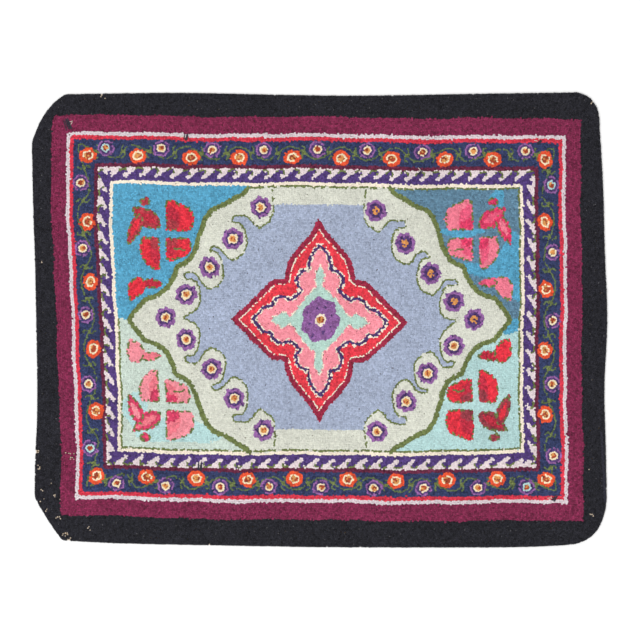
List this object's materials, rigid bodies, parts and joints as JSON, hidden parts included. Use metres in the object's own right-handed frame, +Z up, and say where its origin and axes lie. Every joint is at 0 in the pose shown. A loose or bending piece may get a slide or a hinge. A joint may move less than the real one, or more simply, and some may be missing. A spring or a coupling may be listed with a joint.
{
  "type": "hooked rug",
  "caption": "Flat oblong hand-hooked rug with hand-cut corners: wool loop pile on a burlap foundation, a star medallion in a field with corner pieces and flowered borders.",
  "frame": {"origin": "on the floor under the middle of the rug's bounding box", "axes": "+X along the rug's length, +Y across it, towards the edge that is uppermost in the picture, and +Z up through the pile"},
  "size_m": [1.219, 0.964, 0.007],
  "materials": {
    "wool_pile": "short matt loop pile of heathered wool yarn in many colours, slightly worn",
    "burlap_foundation": "plain-woven coarse jute burlap, tan, matt",
    "mending_thread": "twisted darning yarn, navy with a few pale strands, matt"
  },
  "bodies": {
    "root": {"rug": "wool_pile"}
  },
  "joints": []
}
